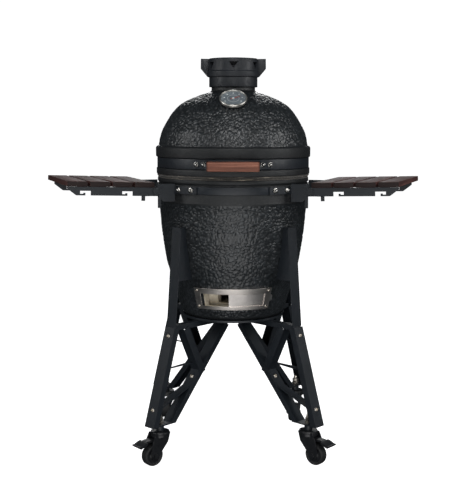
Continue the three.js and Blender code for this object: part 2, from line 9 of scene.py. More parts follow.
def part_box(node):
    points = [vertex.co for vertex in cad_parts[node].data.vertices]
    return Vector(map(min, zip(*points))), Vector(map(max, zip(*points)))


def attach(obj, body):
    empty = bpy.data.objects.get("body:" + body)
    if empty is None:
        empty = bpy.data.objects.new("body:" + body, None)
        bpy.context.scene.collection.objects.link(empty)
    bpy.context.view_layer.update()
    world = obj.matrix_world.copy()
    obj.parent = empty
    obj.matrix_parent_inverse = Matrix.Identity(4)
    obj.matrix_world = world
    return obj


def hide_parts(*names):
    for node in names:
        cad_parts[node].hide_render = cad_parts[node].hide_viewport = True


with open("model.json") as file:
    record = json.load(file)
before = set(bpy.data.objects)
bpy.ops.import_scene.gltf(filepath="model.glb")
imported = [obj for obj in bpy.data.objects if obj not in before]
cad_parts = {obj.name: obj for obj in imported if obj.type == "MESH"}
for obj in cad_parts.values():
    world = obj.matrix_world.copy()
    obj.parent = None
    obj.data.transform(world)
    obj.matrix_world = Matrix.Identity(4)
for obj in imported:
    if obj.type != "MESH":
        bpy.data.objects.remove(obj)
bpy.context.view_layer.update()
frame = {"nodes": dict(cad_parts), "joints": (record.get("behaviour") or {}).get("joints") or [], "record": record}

MM = 0.001
DEG = math.pi / 180
scene = bpy.context.scene


def centre(node):
    low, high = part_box(node)
    return (low + high) / 2


AXIS = centre("base_band")
AXIS_Y = AXIS.y
LID_RIM = 831  # millimetres above the grill's own zero, which the casters reach below
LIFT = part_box("lid_dome")[0].z / MM - LID_RIM
JOINTS = {joint["name"]: joint for joint in frame["joints"]}


def at(x, y, z):
    """A point in millimetres from the grill's own axis and zero, in the row frame's metres."""
    return Vector((x * MM, AXIS_Y + y * MM, (z + LIFT) * MM))


def own(z):
    """A height in the row frame as the grill's own, in millimetres."""
    return z / MM - LIFT


def around(radius, azimuth, z):
    """A point at an azimuth in degrees from the front, counted towards +X."""
    return at(radius * math.sin(azimuth * DEG), -radius * math.cos(azimuth * DEG), z)


def facing(origin, out, up=Vector((0, 0, 1))):
    """A frame at origin whose Z points out, and whose Y is as near as it can be to up."""
    z = Vector(out).normalized()
    x = Vector(up).cross(z)
    x = x.normalized() if x.length > 1e-6 else Vector((1, 0, 0))
    y = z.cross(x)
    made = Matrix((x, y, z)).transposed().to_4x4()
    made.translation = origin
    return made @ Matrix.Scale(MM, 4)


def radial(radius, azimuth, z):
    """A frame in millimetres on a vertical cylinder, facing out."""
    out = Vector((math.sin(azimuth * DEG), -math.cos(azimuth * DEG), 0))
    return facing(around(radius, azimuth, z), out)


UPRIGHT = Matrix.Translation(at(0, 0, 0)) @ Matrix.Scale(MM, 4)

# ---------------------------------------------------------------- materials


class Shader:
    """A Principled material and short ways to feed it from procedural nodes."""

    def __init__(self, name, color, roughness, metallic=0.0, **sockets):
        self.material = bpy.data.materials.new(name)
        self.material.use_nodes = True
        self.tree = self.material.node_tree
        self.bsdf = self.tree.nodes["Principled BSDF"]
        self.set("Base Color", (*color, 1))
        self.set("Roughness", roughness)
        self.set("Metallic", metallic)
        for socket, value in sockets.items():
            self.set(socket.replace("_", " "), value)
        self.height = None

    def set(self, socket, value):
        self.bsdf.inputs[socket].default_value = value

    def node(self, kind, inputs=None, **settings):
        made = self.tree.nodes.new(kind)
        for key, value in settings.items():
            setattr(made, key, value)
        for key, value in (inputs or {}).items():
            if isinstance(value, bpy.types.NodeSocket):
                self.tree.links.new(value, made.inputs[key])
            else:
                made.inputs[key].default_value = value
        return made

    def place(self, attribute=None, scale=(1, 1, 1)):
        """Where a point is: in the row frame, or in a mesh's own stored coordinates."""
        if attribute:
            source = self.node("ShaderNodeAttribute", attribute_name=attribute).outputs["Vector"]
        else:
            source = self.node("ShaderNodeTexCoord").outputs["Object"]
        return self.node("ShaderNodeMapping", {"Vector": source, "Scale": scale}).outputs[0]

    def stored(self, attribute):
        return self.node("ShaderNodeAttribute", attribute_name=attribute).outputs["Fac"]

    def noise(self, vector, scale, detail=3.0, roughness=0.5, distortion=0.0):
        values = {"Vector": vector, "Scale": scale, "Detail": detail, "Roughness": roughness}
        values["Distortion"] = distortion
        return self.node("ShaderNodeTexNoise", values).outputs["Fac"]

    def ramp(self, factor, *stops):
        made = self.node("ShaderNodeValToRGB", {"Fac": factor})
        elements = made.color_ramp.elements
        while len(elements) < len(stops):
            elements.new(0.5)
        for element, (position, color) in zip(elements, stops):
            element.position = position
            element.color = (*color, 1) if len(color) == 3 else color
        return made.outputs["Color"]

    def grey(self, factor, low, high, start=0.3, end=0.7):
        values = {"Value": factor, "From Min": start, "From Max": end, "To Min": low, "To Max": high}
        return self.node("ShaderNodeMapRange", values).outputs["Result"]

    def mix(self, factor, a, b, blend="MIX"):
        made = self.node("ShaderNodeMix", data_type="RGBA", blend_type=blend)
        for index, value in ((0, factor), (6, a), (7, b)):
            if isinstance(value, bpy.types.NodeSocket):
                self.tree.links.new(value, made.inputs[index])
            else:
                made.inputs[index].default_value = value if index == 0 else (*value, 1)
        return made.outputs[2]

    def color(self, socket):
        self.tree.links.new(socket, self.bsdf.inputs["Base Color"])

    def rough(self, socket):
        self.tree.links.new(socket, self.bsdf.inputs["Roughness"])

    def bump(self, height, strength, distance):
        """Adds one more layer of bump under the last."""
        values = {"Height": height, "Strength": strength, "Distance": distance}
        if self.height is not None:
            values["Normal"] = self.height
        self.height = self.node("ShaderNodeBump", values).outputs["Normal"]
        self.tree.links.new(self.height, self.bsdf.inputs["Normal"])


def glaze():
    """Near-black glaze with a fine speckle, painted shade in the dimples' grooves and a greyer painted highlight
    on their crests.
    """
    s = Shader("glaze", (0.02, 0.022, 0.024), 0.28, Specular_IOR_Level=0.6)
    where = s.place()
    # Painted shade and highlight: the stored relief height darkens the grooves and lightens the crests.
    relief_shading = s.ramp(s.stored("relief_shading"), (0.0, (0.004, 0.0052, 0.0062)), (0.5, (0.0085, 0.0104, 0.012)),
                    (1.0, (0.02, 0.0235, 0.0265)))
    speck = s.ramp(s.noise(where, 620, 2, 0.6), (0.5, (0.0, 0.0, 0.0)), (0.72, (0.016, 0.0175, 0.0185)))
    cloud = s.ramp(s.noise(where, 22, 3), (0.3, (0.78, 0.78, 0.78)), (0.7, (1.15, 1.15, 1.15)))
    s.color(s.mix(1.0, s.mix(1.0, relief_shading, speck, "ADD"), cloud, "MULTIPLY"))
    s.rough(s.grey(s.noise(where, 300, 3), 0.31, 0.45))
    s.bump(s.noise(where, 700, 2, 0.5), 0.15, 0.0005)
    return s.material


def smooth_glaze():
    """The same glaze on the turned rims and collars, with a sandy grain."""
    s = Shader("glaze_rim", (0.02, 0.022, 0.024), 0.48, Specular_IOR_Level=0.5)
    where = s.place()
    grain = s.noise(where, 760, 3, 0.7)
    tone = s.ramp(grain, (0.35, (0.005, 0.006, 0.0068)), (0.6, (0.011, 0.0125, 0.0137)),
                  (0.78, (0.045, 0.049, 0.051)))
    cloud = s.ramp(s.noise(where, 18, 3), (0.3, (0.8, 0.8, 0.8)), (0.7, (1.12, 1.12, 1.12)))
    s.color(s.mix(1.0, tone, cloud, "MULTIPLY"))
    s.rough(s.grey(s.noise(where, 260, 2), 0.42, 0.6))
    s.bump(grain, 0.55, 0.0007)
    return s.material


def fireclay():
    s = Shader("fireclay", (0.6, 0.54, 0.43), 0.9)
    where = s.place()
    s.color(s.ramp(s.noise(where, 45, 5, 0.6), (0.3, (0.5, 0.44, 0.34)), (0.55, (0.66, 0.6, 0.49)),
                   (0.8, (0.74, 0.69, 0.58))))
    s.bump(s.noise(where, 420, 4, 0.6), 0.4, 0.0008)
    return s.material


def felt():
    """Woven wool gasket: flecked fibres, with a paler worn line here and there."""
    s = Shader("felt", (0.1, 0.09, 0.075), 0.95, Sheen_Weight=0.3, Sheen_Roughness=0.5)
    where = s.place(scale=(1, 1, 2.5))
    fibres = s.noise(where, 700, 4, 0.7)
    worn = s.noise(s.place(scale=(1, 1, 9)), 26, 3, 0.6, 0.4)
    base = s.ramp(fibres, (0.3, (0.02, 0.019, 0.017)), (0.7, (0.075, 0.066, 0.055)))
    s.color(s.mix(s.grey(worn, 0, 1, 0.56, 0.68), base, (0.3, 0.26, 0.2)))
    s.bump(fibres, 0.7, 0.001)
    return s.material


def powder(name, color, roughness=0.46, grain=0.3):
    """Powder coat: a fine orange peel, faintly mottled, duller where it is rubbed."""
    s = Shader(name, color, roughness, Specular_IOR_Level=0.5)
    where = s.place()
    low = tuple(c * 0.86 for c in color)
    high = tuple(c * 1.18 for c in color)
    s.color(s.ramp(s.noise(where, 14, 4, 0.55), (0.3, low), (0.7, high)))
    s.rough(s.grey(s.noise(where, 60, 4), roughness - 0.05, roughness + 0.09))
    s.bump(s.noise(where, 1500, 2, 0.5), grain, 0.0003)
    return s.material


def casting():
    s = Shader("casting", (0.02, 0.023, 0.029), 0.5, Specular_IOR_Level=0.5)
    where = s.place()
    s.color(s.ramp(s.noise(where, 30, 4), (0.3, (0.007, 0.009, 0.0125)), (0.7, (0.013, 0.0155, 0.02))))
    s.rough(s.grey(s.noise(where, 90, 3), 0.42, 0.6))
    s.bump(s.noise(where, 650, 4, 0.65), 0.5, 0.0006)
    return s.material


def brushed(name, color, roughness, attribute=None, scale=(6, 6, 900)):
    """Stainless sheet, with fine strokes along it and a soft stain."""
    s = Shader(name, color, roughness, 1.0)
    strokes = s.noise(s.place(attribute, scale), 1.0, 3, 0.6)
    stain = s.noise(s.place(), 26, 4, 0.6)
    pale = tuple(min(1, c * 1.12) for c in color)
    dull = tuple(c * 0.8 for c in color)
    s.color(s.ramp(stain, (0.3, dull), (0.6, color), (0.8, pale)))
    s.rough(s.grey(strokes, roughness - 0.06, roughness + 0.1))
    s.bump(strokes, 0.12, 0.0004)
    return s.material


def plated(name, color, roughness):
    s = Shader(name, color, roughness, 1.0)
    where = s.place()
    dull = tuple(c * 0.72 for c in color)
    s.color(s.ramp(s.noise(where, 160, 3), (0.3, dull), (0.65, color)))
    s.rough(s.grey(s.noise(where, 320, 3), roughness - 0.04, roughness + 0.12))
    s.bump(s.noise(where, 900, 2), 0.06, 0.0003)
    return s.material


def timber(name, dark, mid, light, roughness, scale):
    """Oiled wood: growth rings stretched along the grain, pores, and darker end grain."""
    s = Shader(name, mid, roughness, Specular_IOR_Level=0.3)
    along = s.place("grain", (scale[0] * 0.05, scale[1], scale[2]))
    rings = s.noise(along, 1.0, 4, 0.6, 1.2)
    fibre = s.noise(s.place("grain", (14, 900, 900)), 1.0, 3, 0.65)
    pores = s.noise(s.place("grain", (60, 1700, 1700)), 1.0, 2, 0.6)
    body = s.ramp(rings, (0.28, dark), (0.5, mid), (0.72, light))
    streak = s.ramp(fibre, (0.3, (0.62, 0.6, 0.6)), (0.7, (1.25, 1.25, 1.25)))
    pore = s.ramp(pores, (0.3, (0.45, 0.43, 0.42)), (0.45, (1, 1, 1)))
    tone = s.mix(1.0, s.mix(1.0, body, streak, "MULTIPLY"), pore, "MULTIPLY")
    ends = tuple(c * 0.4 for c in dark)
    s.color(s.mix(s.stored("end"), tone, ends))
    s.rough(s.grey(fibre, roughness - 0.08, roughness + 0.12))
    s.bump(fibre, 0.3, 0.0004)
    s.bump(pores, 0.25, 0.0003)
    return s.material


def moulded(name, color, roughness, grain=0.2):
    s = Shader(name, color, roughness)
    where = s.place()
    low = tuple(c * 0.8 for c in color)
    high = tuple(c * 1.25 for c in color)
    s.color(s.ramp(s.noise(where, 40, 3), (0.3, low), (0.7, high)))
    s.rough(s.grey(s.noise(where, 120, 3), roughness - 0.07, roughness + 0.1))
    s.bump(s.noise(where, 1100, 2), grain, 0.0003)
    return s.material


GLAZE = glaze()
RIM = smooth_glaze()
CLAY = fireclay()
FELT = felt()
STEEL = powder("powder_coat", (0.0072, 0.0102, 0.0142))
BAND = powder("band_coat", (0.0078, 0.0108, 0.0152), 0.42)
CASTING = casting()
STAINLESS = brushed("stainless", (0.86, 0.8, 0.75), 0.34)
DOOR_STEEL = brushed("door_stainless", (0.88, 0.83, 0.79), 0.38)
CHROME = plated("chrome", (0.46, 0.45, 0.43), 0.17)
BEZEL = plated("bezel", (0.72, 0.7, 0.65), 0.34)
ZINC = plated("zinc", (0.62, 0.57, 0.5), 0.28)
DIAL = moulded("dial_face", (0.16, 0.185, 0.205), 0.35, 0.02)
DIAL_MARK = moulded("dial_mark", (0.62, 0.66, 0.66), 0.4, 0.02)
NEEDLE = moulded("needle", (0.42, 0.09, 0.075), 0.4, 0.02)
GRIP_WOOD = timber("grip_wood", (0.1, 0.033, 0.02), (0.24, 0.092, 0.058), (0.42, 0.19, 0.125), 0.55,
                   (40, 150, 150))
SLAT_WOOD = timber("slat_wood", (0.036, 0.0145, 0.0125), (0.078, 0.031, 0.0265), (0.15, 0.066, 0.056), 0.6,
                   (40, 55, 55))
CASTER = moulded("caster_black", (0.0075, 0.008, 0.0095), 0.38)
TYRE = moulded("tyre_rubber", (0.0085, 0.0088, 0.0095), 0.62, 0.35)

# ---------------------------------------------------------------- mesh helpers


def spline(points, steps):
    """A Catmull-Rom curve through points, with that many steps in all."""
    made = []
    spans = len(points) - 1
    for i in range(steps + 1):
        t = i / steps * spans
        k = min(int(t), spans - 1)
        t -= k
        a, b = points[max(k - 1, 0)], points[k]
        c, d = points[k + 1], points[min(k + 2, spans)]
        made.append(tuple(
            0.5 * (2 * q + (r - p) * t + (2 * p - 5 * q + 4 * r - s) * t * t
                   + (3 * q - p - 3 * r + s) * t ** 3)
            for p, q, r, s in zip(a, b, c, d)
        ))
    return made


def filleted(profile, radius, steps=3):
    """A closed or open outline with its corners turned into arcs."""
    closed = profile[0] == profile[-1]
    points = [Vector(p) for p in (profile[:-1] if closed else profile)]
    made = []
    for i, p in enumerate(points):
        if not closed and i in (0, len(points) - 1):
            made.append(tuple(p))
            continue
        before, after = points[i - 1] - p, points[(i + 1) % len(points)] - p
        reach = min(radius, before.length * 0.45, after.length * 0.45)
        if before.normalized().dot(after.normalized()) < -0.97 or reach < 1e-4:
            made.append(tuple(p))
            continue
        a, b = p + before.normalized() * reach, p + after.normalized() * reach
        for k in range(steps + 1):
            t = k / steps
            made.append(tuple(a * (1 - t) ** 2 + p * 2 * t * (1 - t) + b * t * t))
    return made + [made[0]] if closed else made


def subdivided(profile, step):
    """The same outline with points no further apart than step."""
    made = [profile[0]]
    for a, b in zip(profile, profile[1:]):
        count = max(1, math.ceil(math.dist(a, b) / step))
        made += [tuple(p + (q - p) * k / count for p, q in zip(a, b)) for k in range(1, count + 1)]
    return made


def revolve(bm, profile, matrix=UPRIGHT, segments=96, material=0):
    """Turns [radius, z] points about the matrix's Z. A closed profile ends where it starts."""
    closed = math.dist(profile[0], profile[-1]) < 1e-6
    points = profile[:-1] if closed else profile
    rings = []
    for r, z in points:
        if r < 1e-6:
            rings.append([bm.verts.new(matrix @ Vector((0, 0, z)))] * segments)
            continue
        rings.append([
            bm.verts.new(matrix @ Vector((r * math.cos(t), r * math.sin(t), z)))
            for t in (2 * math.pi * k / segments for k in range(segments))
        ])
    pairs = list(zip(rings, rings[1:])) + ([(rings[-1], rings[0])] if closed else [])
    for low, high in pairs:
        for k in range(segments):
            corners = [low[k], low[(k + 1) % segments], high[(k + 1) % segments], high[k]]
            corners = [v for i, v in enumerate(corners) if v not in corners[:i]]
            if len(corners) > 2:
                face = bm.faces.new(corners)
                face.material_index = material
                face.smooth = True


def prism(bm, outline, depth, matrix, bevel=0.0, material=0):
    """An outline in the matrix's XY plane, given depth along its Z."""
    part = bmesh.new()
    face = part.faces.new([part.verts.new((x, y, 0)) for x, y in outline])
    grown = bmesh.ops.extrude_face_region(part, geom=[face])["geom"]
    far = [g for g in grown if isinstance(g, bmesh.types.BMVert)]
    bmesh.ops.translate(part, verts=far, vec=(0, 0, depth))
    bmesh.ops.recalc_face_normals(part, faces=part.faces)
    if bevel:
        bmesh.ops.bevel(part, geom=list(part.edges), offset=bevel, segments=2, profile=0.5, affect="EDGES")
    merge(bm, part, matrix, material)


def merge(bm, part, matrix, material=0):
    """Moves a scratch bmesh into another, through a matrix."""
    flip = matrix.to_3x3().determinant() < 0
    made = {v: bm.verts.new(matrix @ v.co) for v in part.verts}
    for f in part.faces:
        corners = [made[v] for v in f.verts]
        face = bm.faces.new(corners[::-1] if flip else corners)
        face.material_index = material
        face.smooth = True
    part.free()


def tube(bm, path, radius, sides=10, material=0):
    """A round wire along points, closed at both ends."""
    rings = []
    normal = None
    for i, p in enumerate(path):
        along = (path[min(i + 1, len(path) - 1)] - path[max(i - 1, 0)]).normalized()
        if normal is None:
            normal = along.orthogonal().normalized()
        normal = (normal - along * normal.dot(along)).normalized()
        other = along.cross(normal)
        turn = [2 * math.pi * k / sides for k in range(sides)]
        rings.append([bm.verts.new(p + (normal * math.cos(t) + other * math.sin(t)) * radius) for t in turn])
    for low, high in zip(rings, rings[1:]):
        for k in range(sides):
            face = bm.faces.new([low[k], low[(k + 1) % sides], high[(k + 1) % sides], high[k]])
            face.material_index = material
            face.smooth = True
    bm.faces.new(rings[0][::-1]).material_index = material
    bm.faces.new(rings[-1]).material_index = material


def piece(name, bm, body, materials, *nodes, sharp=35):
    """Makes an object of a bmesh, which rides on a body and stands for these CAD nodes."""
    bmesh.ops.recalc_face_normals(bm, faces=bm.faces)
    mesh = bpy.data.meshes.new(name)
    bm.to_mesh(mesh)
    bm.free()
    obj = bpy.data.objects.new(name, mesh)
    scene.collection.objects.link(obj)
    for material in materials:
        mesh.materials.append(material)
    if sharp:
        mesh.set_sharp_from_angle(angle=sharp * DEG)
    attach(obj, body)
    if nodes:
        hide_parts(*nodes)
    return obj


BODY_OF = {node: body for body, nodes in frame["record"]["behaviour"]["bodies"].items() for node in nodes}


def refined(node, material, bevel=0.5, segments=2):
    """A copy of a flat-sided CAD part with its edges rounded off."""
    bm = bmesh.new()
    bm.from_mesh(frame["nodes"][node].data)
    bmesh.ops.remove_doubles(bm, verts=bm.verts, dist=1e-5)
    bmesh.ops.dissolve_limit(bm, angle_limit=1.5 * DEG, verts=bm.verts, edges=bm.edges)
    for face in bm.faces:
        face.smooth = True
    obj = piece(node + "_finished", bm, BODY_OF[node], [material], node, sharp=0)
    rounding = obj.modifiers.new("rounding", "BEVEL")
    rounding.width = bevel * MM
    rounding.segments = segments
    rounding.limit_method = "ANGLE"
    rounding.angle_limit = 30 * DEG
    shading = obj.modifiers.new("shading", "WEIGHTED_NORMAL")
    shading.mode = "FACE_AREA"
    shading.weight = 100
    return obj


# ---------------------------------------------------------------- hardware


def cap_nut(bm, matrix, size=6.5):
    """A domed nut on a washer, facing along the matrix's Z."""
    dome = [(size * 0.82 * math.cos(t * DEG), size * 0.75 + size * 0.8 * math.sin(t * DEG))
            for t in (0, 20, 40, 60, 78)]
    washer = filleted([(size * 1.25, 0), (size * 1.25, 1.2), (0, 1.2)], 0.4)
    revolve(bm, [(0, 0)] + washer, matrix, 24)
    hexagon = [(0, 1.0), (size * 0.98, 1.0), (size, 1.5), (size, size * 0.62), (size * 0.84, size * 0.8)]
    revolve(bm, hexagon, matrix, 6)
    revolve(bm, dome + [(0, size * 1.55)], matrix, 18)


def button_head(bm, matrix, size=6.0):
    """A low domed screw head with a hexagonal socket, facing along the matrix's Z."""
    dome = [(size * math.cos(t * DEG), size * 0.55 * math.sin(t * DEG)) for t in (0, 25, 45, 62)]
    revolve(bm, [(0, -0.6), (size, -0.6)] + dome, matrix, 22)
    rim = size * 0.47
    revolve(bm, [(rim, size * 0.485), (rim * 0.95, size * 0.2), (0, size * 0.2)], matrix, 6)


def hex_nut(bm, matrix, size, height):
    """A plain nut, its corners turned down."""
    flat = size * 0.94
    outline = [(0, 0), (flat, 0), (size, 0.7), (size, height - 0.7), (flat, height), (0, height)]
    revolve(bm, outline, matrix, 6)


# ---------------------------------------------------------------- ceramic

BASE_RIM = own(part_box("base_shell")[1].z)
NECK_TOP = own(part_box("lid_dome")[1].z)
BASE_FLOOR = own(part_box("base_shell")[0].z)


def worm(point):
    """The dimpled glaze: crests from 0 in a groove to 1 on top."""
    p = point / 0.0118
    p = Vector((p.x, p.y, p.z * 1.25))
    p += 0.55 * noise.noise_vector(p * 0.7)
    near, far = noise.voronoi(p)[0][:2]
    edge = min(1.0, max(0.0, (far - near) / 0.34))
    crest = edge * edge * (3 - 2 * edge)
    merge_cells = 0.5 + 0.5 * noise.noise(p * 1.3)
    return crest + (1 - crest) * 0.55 * merge_cells * merge_cells


def band_weight(z, low, high, fade=5.0):
    return min(1.0, max(0.0, (z - low) / fade), max(0.0, (high - z) / fade)) if low < z < high else 0.0


def ceramic(name, body, outer, inner, textured, node, window=None, segments=720):
    """A ceramic wall turned from an outer and an inner profile, with a dimpled zone and a window."""
    profile = outer + inner
    bm = bmesh.new()
    # Each vertex keeps its relief height, which the glaze uses to paint shade into the grooves and a highlight
    # onto the crests.
    relief_shading = bm.verts.layers.float.new("relief_shading")
    rings = []
    for i, (r, z) in enumerate(profile):
        if r < 1e-6:
            vertex = bm.verts.new(at(0, 0, z))
            rings.append([vertex] * segments)
            continue
        before, after = profile[max(i - 1, 0)], profile[min(i + 1, len(profile) - 1)]
        along = Vector((after[0] - before[0], after[1] - before[1])).normalized()
        weight = band_weight(z, *textured) if i < len(outer) else 0.0
        ring = []
        for k in range(segments):
            angle = 360 * k / segments
            height = 0.5
            reach = 0.0
            if weight:
                height = 0.5 + (worm(around(r, angle, z)) - 0.5) * weight
                reach = (height - 0.72) * 2.1 * weight
            vertex = bm.verts.new(around(r + along.y * reach, angle, z - along.x * reach))
            vertex[relief_shading] = height
            ring.append(vertex)
        rings.append(ring)

    def open_at(k, a, b):
        if window is None:
            return False
        half, low, high = window
        angle = 360 * (k + 0.5) / segments
        beside = min(angle, 360 - angle) < half
        level = low - 0.01 < min(a[1], b[1]) and max(a[1], b[1]) < high + 0.01
        return beside and level and min(a[0], b[0]) > 90

    pairs = [(i, i + 1) for i in range(len(profile) - 1)]
    if profile[0][0] > 1e-6:
        pairs.append((len(profile) - 1, 0))
    for i, j in pairs:
        in_relief = band_weight((profile[i][1] + profile[j][1]) / 2, *textured) > 0 and j < len(outer)
        for k in range(segments):
            if open_at(k, profile[i], profile[j]):
                continue
            n = (k + 1) % segments
            corners = [rings[i][k], rings[i][n], rings[j][n], rings[j][k]]
            corners = [v for c, v in enumerate(corners) if v not in corners[:c]]
            face = bm.faces.new(corners)
            face.smooth = True
            face.material_index = 0 if in_relief else 1 if j < len(outer) else 2
    if window:
        half, low, high = window
        inside = [i for i, p in enumerate(profile) if low - 0.01 < p[1] < high + 0.01 and p[0] > 90]
        out_rows = [i for i in inside if i < len(outer)]
        in_rows = [i for i in inside if i >= len(outer)]
        steps = round(half / 360 * segments)
        for k in (steps, -steps):
            bm.faces.new([rings[i][k] for i in out_rows + in_rows]).material_index = 2
        ends = ((out_rows[0], in_rows[-1]), (out_rows[-1], in_rows[0]))
        for a, b in ends:
            for k in range(-steps, steps):
                bm.faces.new([rings[a][k], rings[a][k + 1], rings[b][k + 1], rings[b][k]]).material_index = 2
    return piece(name, bm, body, [GLAZE, RIM, CLAY], node, sharp=50)


dome = spline([(231, 917), (220, 962), (182.5, 1024), (142, 1055), (71, 1083)], 84)
lid_outer = filleted(
    [(211, LID_RIM), (237.5, LID_RIM), (237.5, 849), (232, 850.5), (232, 881.5), (239.5, 883), (240, 911),
     (236, 915.5), (231.5, 916.5)], 2.2)[:-1]
lid_outer += subdivided(dome, 3.2) + [(68.5, 1084.5), (67.5, 1087), (67.5, NECK_TOP - 2), (66, NECK_TOP)]
lid_inner = [(50, NECK_TOP), (50, 1072)] + [(r - 22, z - 13) for r, z in spline(dome[::-1], 24)]
ceramic("lid_ceramic", "lid", lid_outer, lid_inner, (916, 1080), "lid_dome")

CONE_RADIUS = 166
CONE_BOTTOM = 425
CONE_SLOPE = 0.3
WINDOW = (29, 438, 480)  # half its width in degrees, then its lower and upper edge


def cone_radius(z):
    return CONE_RADIUS + (z - CONE_BOTTOM) * CONE_SLOPE


upper_base = spline([(cone_radius(557), 557), (216, 619), (222.5, 668), (227, 719), (231.6, 741)], 62)
foot = filleted([(120, BASE_FLOOR), (150, BASE_FLOOR), (156.5, 403), (165.4, 423)], 6)
base_outer = [(0, BASE_FLOOR)] + subdivided(foot, 3.0)
base_outer += subdivided([(cone_radius(z), z) for z in (424, 438, 480, 556)], 3.0)
base_outer += subdivided(upper_base, 3.2)
base_outer += filleted([(232.6, 746), (233.6, 750), (232.2, 757), (231.9, 801), (229.2, 803), (231, 805.5),
                        (234, 809), (234, BASE_RIM), (222, BASE_RIM)], 1.6)
base_inner = [(207, BASE_RIM), (205, 760)] + [(r - 26, z) for r, z in upper_base[::-6]]
base_inner += [(cone_radius(z) - 26, z) for z in (480, 438)] + [(134, 425), (0, 425)]
ceramic("base_ceramic", "grill", base_outer, base_inner, (402, 747), "base_shell", WINDOW)

bowl_outer = [(0, 426), (130, 426), (137.3, 446), (144, 462), (147, 476), (171, 557), (180, 640), (158, 640)]
bowl_inner = [(150, 557), (131, 494), (131, 484), (117, 484), (116.4, 476), (115, 446), (0, 444)]


def clay_wall(name, outer, inner, node, window=None):
    """An unglazed liner, turned and cut like the outer ceramic but with no dimples."""
    made = ceramic(name, "grill", outer, inner, (-2, -1), node, window, 240)
    made.data.materials.clear()
    for _ in range(3):
        made.data.materials.append(CLAY)


clay_wall("fire_bowl_clay", bowl_outer, bowl_inner, "fire_bowl", (18, 446, 476))
clay_wall("fire_ring_clay", [(158, 640.3), (180, 640.3), (193, 700), (198, 794)], [(182, 794), (172, 700)],
          "fire_ring")

for node, body in (("lid_gasket", "lid"), ("base_gasket", "grill")):
    low, high = (own(corner.z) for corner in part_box(node))
    inner_radius, outer_radius = (212, 235.6) if body == "lid" else (209, 232.8)
    bm = bmesh.new()
    section = filleted([(inner_radius, low), (outer_radius, low), (outer_radius, high), (inner_radius, high),
                        (inner_radius, low)], 2.0)
    revolve(bm, section, segments=240)
    for vertex in bm.verts:
        vertex.co.z += 0.35 * MM * noise.noise(vertex.co * 130)
    piece(node + "_felt", bm, body, [FELT], node)

for node, body in (("lid_band", "lid"), ("base_band", "grill")):
    low, high = (own(corner.z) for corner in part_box(node))
    bm = bmesh.new()
    section = filleted([(232.4, low), (235.3, low), (235.3, high), (232.4, high), (232.4, low)], 0.8)
    revolve(bm, section, segments=200)
    piece(node + "_steel", bm, body, [BAND], node)

# ---------------------------------------------------------------- vent and thermometer


def boolean(obj, cutter_bm):
    """Cuts a scratch bmesh out of an object and applies the result."""
    mesh = bpy.data.meshes.new("cutter")
    bmesh.ops.recalc_face_normals(cutter_bm, faces=cutter_bm.faces)
    cutter_bm.to_mesh(mesh)
    cutter_bm.free()
    cutter = bpy.data.objects.new("cutter", mesh)
    scene.collection.objects.link(cutter)
    modifier = obj.modifiers.new("cut", "BOOLEAN")
    modifier.object = cutter
    modifier.solver = "EXACT"
    bpy.context.view_layer.update()
    evaluated = obj.evaluated_get(bpy.context.evaluated_depsgraph_get())
    made = bpy.data.meshes.new_from_object(evaluated)
    obj.modifiers.clear()
    obj.data = made
    bpy.data.objects.remove(cutter)


def vent_windows():
    """Six triangular holes, point down, round the vent."""
    cutters = bmesh.new()
    for k in range(6):
        frame_out = radial(55, 60 * k, 1151)
        triangle = [(0, 0), (13.5, 21), (-13.5, 21)]
        prism(cutters, triangle, 40, frame_out)
    return cutters


bm = bmesh.new()
sleeve_wall = [(68.3, 1096.5), (74.8, 1096.5), (74.8, 1127), (70.3, 1127), (70.3, 1175), (66, 1175)]
sleeve_floor = [(66, 1124), (54, 1124), (54, 1118.4), (68.3, 1118.4), (68.3, 1096.5)]
revolve(bm, filleted(sleeve_wall + sleeve_floor, 0.9), segments=120)
sleeve = piece("vent_sleeve_cast", bm, "lid", [CASTING], "vent_sleeve")
boolean(sleeve, vent_windows())
sleeve.data.set_sharp_from_angle(angle=30 * DEG)

bm = bmesh.new()
cap_outer = [(72, 1127.4), (80.5, 1127.4), (81, 1143.5), (77.8, 1146), (77.3, 1181.5), (75, 1184),
             (20, 1185.6), (0, 1185.6)]
cap_inner = [(0, 1180), (72, 1178), (72, 1127.4)]
revolve(bm, filleted(cap_outer, 1.4) + cap_inner, segments=120)
cap = piece("vent_cap_cast", bm, "vent_cap", [CASTING], "vent_cap")
boolean(cap, vent_windows())
cap.data.set_sharp_from_angle(angle=30 * DEG)
for side in (-1, 1):
    bm = bmesh.new()
    wing = ((76.4, 1183.6), (100.5, 1184), (101, 1153), (80, 1127.6), (76.4, 1127.6))
    outline = [(side * x, z) for x, z in wing]
    plane = Matrix(((1, 0, 0, 0), (0, 0, -1, 3.5), (0, 1, 0, 0), (0, 0, 0, 1)))
    prism(bm, outline, 7, UPRIGHT @ plane, 0.9)
    piece(f"vent_wing_{'left' if side < 0 else 'right'}", bm, "vent_cap", [CASTING])

